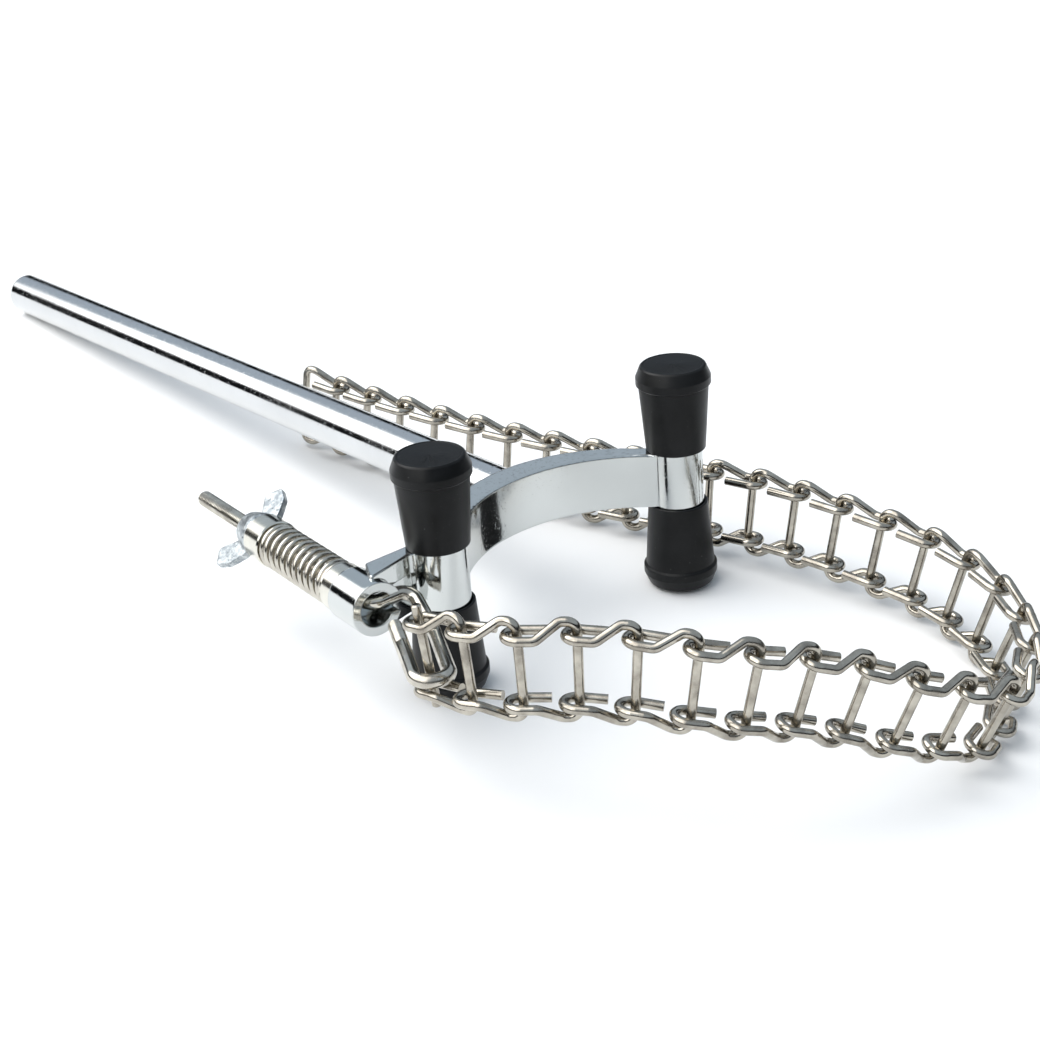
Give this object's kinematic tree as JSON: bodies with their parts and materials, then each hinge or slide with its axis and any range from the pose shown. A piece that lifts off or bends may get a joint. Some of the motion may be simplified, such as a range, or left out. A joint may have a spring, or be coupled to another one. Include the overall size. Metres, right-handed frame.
{
  "type": "laboratory chain clamp",
  "caption": "Chain clamp for round laboratory vessels: chromed rod and yoke with rubber-capped posts, and a wire ladder chain on a spring-loaded hook bolt.",
  "frame": {"origin": "on the support rod's axis, where the rod leaves the back of the yoke", "axes": "-Y along the rod to its free end, +Y towards the vessel, +Z along the posts, +X towards the arm with the tension unit"},
  "size_m": [0.1379, 0.3851, 0.0649],
  "materials": {
    "chromed_rod": "bright chrome plate, faint drawing lines and handling marks",
    "chromed_casting": "chrome plate over a linished zinc die casting, small pits",
    "black_rubber": "black satin rubber, slightly glossier bevelled faces",
    "nickel_turned": "bright nickel plate, turned",
    "spring_wire": "bright nickel-plated spring wire",
    "zinc_casting": "mottled zinc plate, dull",
    "hook_wire": "nickel-plated wire with a rolled thread",
    "chain_wire": "nickel-plated bent wire, drawn streaks"
  },
  "bodies": {
    "frame": {"support_rod": "chromed_rod", "yoke": "chromed_casting", "cap_left_upper": "black_rubber", "cap_left_lower": "black_rubber", "cap_right_upper": "black_rubber", "cap_right_lower": "black_rubber", "inner_ferrule": "nickel_turned", "tension_spring": "spring_wire"},
    "outer_ferrule": {"outer_ferrule": "nickel_turned"},
    "hook_bolt": {"hook_bolt": "hook_wire"},
    "wing_nut": {"wing_nut": "zinc_casting"},
    "chain_pin": {"chain_pin": "chain_wire"},
    "chain_link_01": {"chain_link_01": "chain_wire"},
    "chain_link_02": {"chain_link_02": "chain_wire"},
    "chain_link_03": {"chain_link_03": "chain_wire"},
    "chain_link_04": {"chain_link_04": "chain_wire"},
    "chain_link_05": {"chain_link_05": "chain_wire"},
    "chain_link_06": {"chain_link_06": "chain_wire"},
    "chain_link_07": {"chain_link_07": "chain_wire"},
    "chain_link_08": {"chain_link_08": "chain_wire"},
    "chain_link_09": {"chain_link_09": "chain_wire"},
    "chain_link_10": {"chain_link_10": "chain_wire"},
    "chain_link_11": {"chain_link_11": "chain_wire"},
    "chain_link_12": {"chain_link_12": "chain_wire"},
    "chain_link_13": {"chain_link_13": "chain_wire"},
    "chain_link_14": {"chain_link_14": "chain_wire"},
    "chain_link_15": {"chain_link_15": "chain_wire"},
    "chain_link_16": {"chain_link_16": "chain_wire"},
    "chain_link_17": {"chain_link_17": "chain_wire"},
    "chain_link_18": {"chain_link_18": "chain_wire"},
    "chain_link_19": {"chain_link_19": "chain_wire"},
    "chain_link_20": {"chain_link_20": "chain_wire"},
    "chain_link_21": {"chain_link_21": "chain_wire"},
    "chain_link_22": {"chain_link_22": "chain_wire"},
    "chain_link_23": {"chain_link_23": "chain_wire"},
    "chain_link_24": {"chain_link_24": "chain_wire"},
    "chain_link_25": {"chain_link_25": "chain_wire"},
    "chain_link_26": {"chain_link_26": "chain_wire"},
    "chain_link_27": {"chain_link_27": "chain_wire"},
    "chain_link_28": {"chain_link_28": "chain_wire"},
    "chain_link_29": {"chain_link_29": "chain_wire"},
    "chain_link_30": {"chain_link_30": "chain_wire"},
    "chain_link_31": {"chain_link_31": "chain_wire"},
    "chain_link_32": {"chain_link_32": "chain_wire"},
    "chain_link_33": {"chain_link_33": "chain_wire"}
  },
  "joints": [
    {"name": "spring_travel", "type": "slide", "parent": "frame", "child": "outer_ferrule", "axis": [0.0785, 0.9969, 0], "range_m": [0, 0.005], "stiffness_N_per_m": 2000, "deforming": ["tension_spring"]},
    {"name": "bolt_travel", "type": "slide", "parent": "outer_ferrule", "child": "hook_bolt", "axis": [0.0785, 0.9969, 0], "range_m": [-0.0007, 0.0028]},
    {"name": "wing_nut_turn", "type": "hinge", "parent": "outer_ferrule", "child": "wing_nut", "pos_m": [0.0565, 0.016, 0], "axis": [0.0785, 0.9969, 0], "range_deg": [-1460, 370]},
    {"name": "pin_spin", "type": "hinge", "parent": "hook_bolt", "child": "chain_pin", "pos_m": [0.0609, 0.0486, -0.0017], "axis": [0.0341, -0.1268, 0.9913], "continuous": true},
    {"name": "swing_01", "type": "hinge", "parent": "hook_bolt", "child": "chain_link_01", "pos_m": [0.0609, 0.0486, -0.0017], "axis": [0.0341, -0.1268, 0.9913], "range_deg": [-40, 0]},
    {"name": "swing_02", "type": "hinge", "parent": "chain_link_01", "child": "chain_link_02", "pos_m": [0.05904, 0.06008, -0.00044], "axis": [0, 0.1095, -0.994], "range_deg": [0, 40]},
    {"name": "swing_03", "type": "hinge", "parent": "chain_link_02", "child": "chain_link_03", "pos_m": [0.05356, 0.07041, 0.00011], "axis": [-0.0259, -0.066, 0.9975], "range_deg": [-40, 0]},
    {"name": "swing_04", "type": "hinge", "parent": "chain_link_03", "child": "chain_link_04", "pos_m": [0.04512, 0.0785, -0.00015], "axis": [0.0521, 0.0224, -0.9984], "range_deg": [0, 40]},
    {"name": "swing_05", "type": "hinge", "parent": "chain_link_04", "child": "chain_link_05", "pos_m": [0.03731, 0.08716, -0.00109], "axis": [-0.0957, 0.0211, 0.9952], "range_deg": [-40, 0]},
    {"name": "swing_06", "type": "hinge", "parent": "chain_link_05", "child": "chain_link_06", "pos_m": [0.0302, 0.09632, -0.00268], "axis": [0.1392, -0.0641, -0.9882], "range_deg": [0, 40]},
    {"name": "swing_07", "type": "hinge", "parent": "chain_link_06", "child": "chain_link_07", "pos_m": [0.02121, 0.10338, -0.00519], "axis": [-0.1821, 0.1149, 0.9765], "range_deg": [-40, 0]},
    {"name": "swing_08", "type": "hinge", "parent": "chain_link_07", "child": "chain_link_08", "pos_m": [0.01085, 0.10779, -0.00836], "axis": [0.2241, -0.1644, -0.9606], "range_deg": [0, 40]},
    {"name": "swing_09", "type": "hinge", "parent": "chain_link_08", "child": "chain_link_09", "pos_m": [0.001, 0.11278, -0.01221], "axis": [-0.2651, 0.204, 0.9424], "range_deg": [-40, 0]},
    {"name": "swing_10", "type": "hinge", "parent": "chain_link_09", "child": "chain_link_10", "pos_m": [-0.00827, 0.11832, -0.01673], "axis": [0.3048, -0.2419, -0.9212], "range_deg": [0, 40]},
    {"name": "swing_11", "type": "hinge", "parent": "chain_link_10", "child": "chain_link_11", "pos_m": [-0.01841, 0.12226, -0.02102], "axis": [-0.2778, 0.2843, 0.9176], "range_deg": [-40, 0]},
    {"name": "swing_12", "type": "hinge", "parent": "chain_link_11", "child": "chain_link_12", "pos_m": [-0.02923, 0.12459, -0.02483], "axis": [0.2506, -0.3265, -0.9114], "range_deg": [0, 40]},
    {"name": "swing_13", "type": "hinge", "parent": "chain_link_12", "child": "chain_link_13", "pos_m": [-0.04023, 0.12071, -0.02569], "axis": [-0.1992, 0.3625, 0.9104], "range_deg": [-40, 0]},
    {"name": "swing_14", "type": "hinge", "parent": "chain_link_13", "child": "chain_link_14", "pos_m": [-0.04996, 0.11422, -0.02555], "axis": [0.2016, -0.3223, -0.9249], "range_deg": [0, 40]},
    {"name": "swing_15", "type": "hinge", "parent": "chain_link_14", "child": "chain_link_15", "pos_m": [-0.05769, 0.10549, -0.02461], "axis": [-0.2036, 0.2815, 0.9377], "range_deg": [-40, 0]},
    {"name": "swing_16", "type": "hinge", "parent": "chain_link_15", "child": "chain_link_16", "pos_m": [-0.06319, 0.09524, -0.02335], "axis": [0.2139, -0.2316, -0.949], "range_deg": [0, 40]},
    {"name": "swing_17", "type": "hinge", "parent": "chain_link_16", "child": "chain_link_17", "pos_m": [-0.06614, 0.084, -0.02191], "axis": [-0.2238, 0.1812, 0.9577], "range_deg": [-40, 0]},
    {"name": "swing_18", "type": "hinge", "parent": "chain_link_17", "child": "chain_link_18", "pos_m": [-0.06659, 0.07243, -0.02023], "axis": [0.1989, -0.1485, -0.9687], "range_deg": [0, 40]},
    {"name": "swing_19", "type": "hinge", "parent": "chain_link_18", "child": "chain_link_19", "pos_m": [-0.06449, 0.06105, -0.01852], "axis": [-0.1735, 0.1151, 0.9781], "range_deg": [-40, 0]},
    {"name": "swing_20", "type": "hinge", "parent": "chain_link_19", "child": "chain_link_20", "pos_m": [-0.06213, 0.04968, -0.01711], "axis": [0.1564, -0.0897, -0.9836], "range_deg": [0, 40]},
    {"name": "swing_21", "type": "hinge", "parent": "chain_link_20", "child": "chain_link_21", "pos_m": [-0.05952, 0.03833, -0.016], "axis": [-0.1392, 0.0641, 0.9882], "range_deg": [-40, 0]},
    {"name": "swing_22", "type": "hinge", "parent": "chain_link_21", "child": "chain_link_22", "pos_m": [-0.05635, 0.0271, -0.01519], "axis": [0.1275, -0.0354, -0.9912], "range_deg": [0, 40]},
    {"name": "swing_23", "type": "hinge", "parent": "chain_link_22", "child": "chain_link_23", "pos_m": [-0.05262, 0.01602, -0.01469], "axis": [-0.1158, 0.0066, 0.9933], "range_deg": [-40, 0]},
    {"name": "swing_24", "type": "hinge", "parent": "chain_link_23", "child": "chain_link_24", "pos_m": [-0.04834, 0.00513, -0.01448], "axis": [0.104, 0.0223, -0.9943], "range_deg": [0, 40]},
    {"name": "swing_25", "type": "hinge", "parent": "chain_link_24", "child": "chain_link_25", "pos_m": [-0.04404, -0.00574, -0.01412], "axis": [-0.1084, -0.0093, 0.9941], "range_deg": [-40, 0]},
    {"name": "swing_26", "type": "hinge", "parent": "chain_link_25", "child": "chain_link_26", "pos_m": [-0.03971, -0.0166, -0.01358], "axis": [0.1129, -0.0037, -0.9936], "range_deg": [0, 40]},
    {"name": "swing_27", "type": "hinge", "parent": "chain_link_26", "child": "chain_link_27", "pos_m": [-0.03535, -0.02744, -0.01289], "axis": [-0.1173, 0.0167, 0.993], "range_deg": [-40, 0]},
    {"name": "swing_28", "type": "hinge", "parent": "chain_link_27", "child": "chain_link_28", "pos_m": [-0.03096, -0.03825, -0.01202], "axis": [0.1217, -0.0297, -0.9921], "range_deg": [0, 40]},
    {"name": "swing_29", "type": "hinge", "parent": "chain_link_28", "child": "chain_link_29", "pos_m": [-0.02693, -0.04919, -0.01113], "axis": [-0.1246, 0.0354, 0.9916], "range_deg": [-40, 0]},
    {"name": "swing_30", "type": "hinge", "parent": "chain_link_29", "child": "chain_link_30", "pos_m": [-0.02325, -0.06026, -0.01019], "axis": [0.1275, -0.0412, -0.991], "range_deg": [0, 40]},
    {"name": "swing_31", "type": "hinge", "parent": "chain_link_30", "child": "chain_link_31", "pos_m": [-0.01994, -0.07144, -0.00923], "axis": [-0.1304, 0.0469, 0.9903], "range_deg": [-40, 0]},
    {"name": "swing_32", "type": "hinge", "parent": "chain_link_31", "child": "chain_link_32", "pos_m": [-0.01698, -0.08272, -0.00823], "axis": [0.1334, -0.0527, -0.9897], "range_deg": [0, 40]},
    {"name": "swing_33", "type": "hinge", "parent": "chain_link_32", "child": "chain_link_33", "pos_m": [-0.0144, -0.09408, -0.0072], "axis": [-0.1363, 0.0584, 0.989], "range_deg": [-40, 0]}
  ],
  "couplings": [
    {"joint": "wing_nut_turn", "follows": "bolt_travel", "rad_per_m": -8976}
  ]
}
